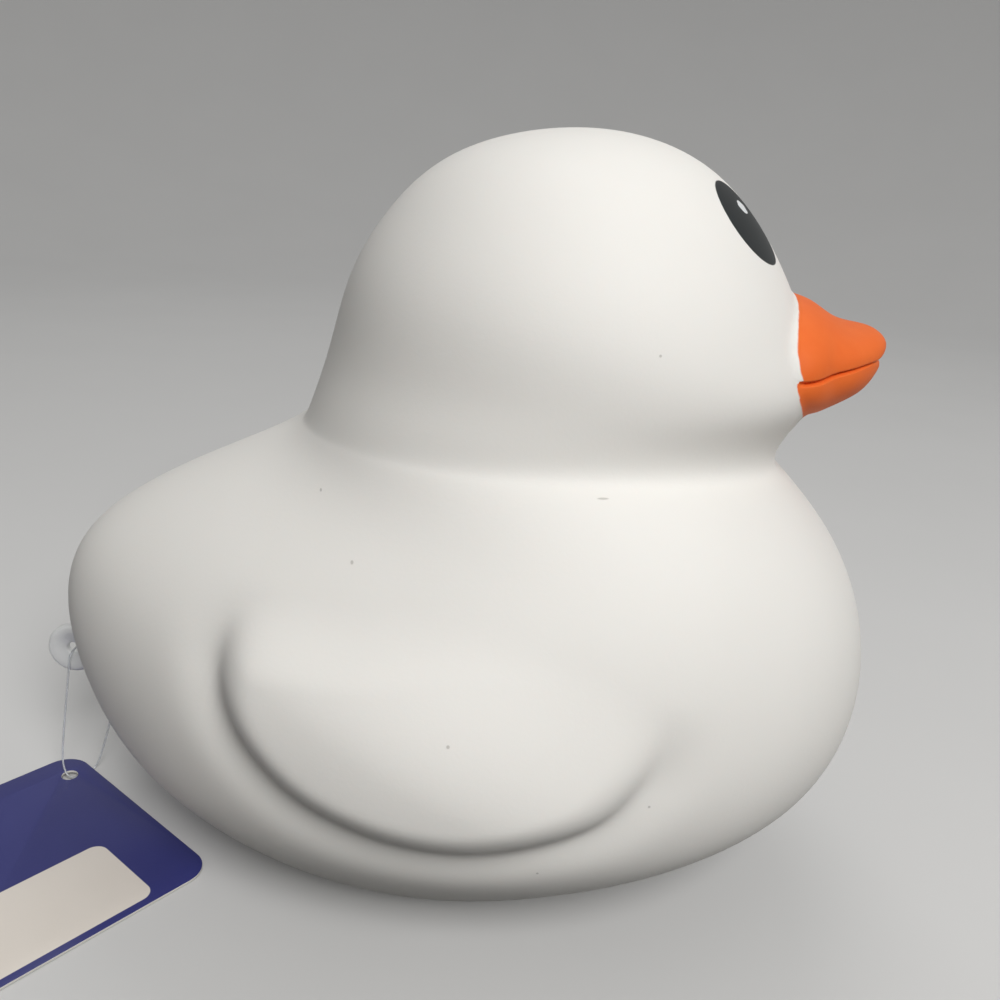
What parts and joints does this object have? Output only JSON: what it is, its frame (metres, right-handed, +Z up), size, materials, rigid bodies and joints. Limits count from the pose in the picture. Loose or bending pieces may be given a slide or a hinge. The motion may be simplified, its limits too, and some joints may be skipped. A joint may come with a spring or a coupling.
{
  "type": "squishy duck toy",
  "caption": "Soft foam duck with moulded wings and an orange bill, a plastic eyelet in its tail and a bare card tag on a clear thread.",
  "frame": {"origin": "on the surface that the duck stands on, under the middle of the duck with its eyelet", "axes": "+X forward towards the bill, +Z up"},
  "size_m": [0.1836, 0.1247, 0.135],
  "materials": {
    "foam": "matte skin of slow-rise foam, painted bill and eyes",
    "eyelet": "translucent white plastic",
    "thread": "clear nylon",
    "card": "coated card, plain dark blue with a bare pale panel"
  },
  "bodies": {
    "root": {"duck_body": "foam", "hang_ring": "eyelet", "tag_thread": "thread", "hang_tag": "card"}
  },
  "joints": []
}
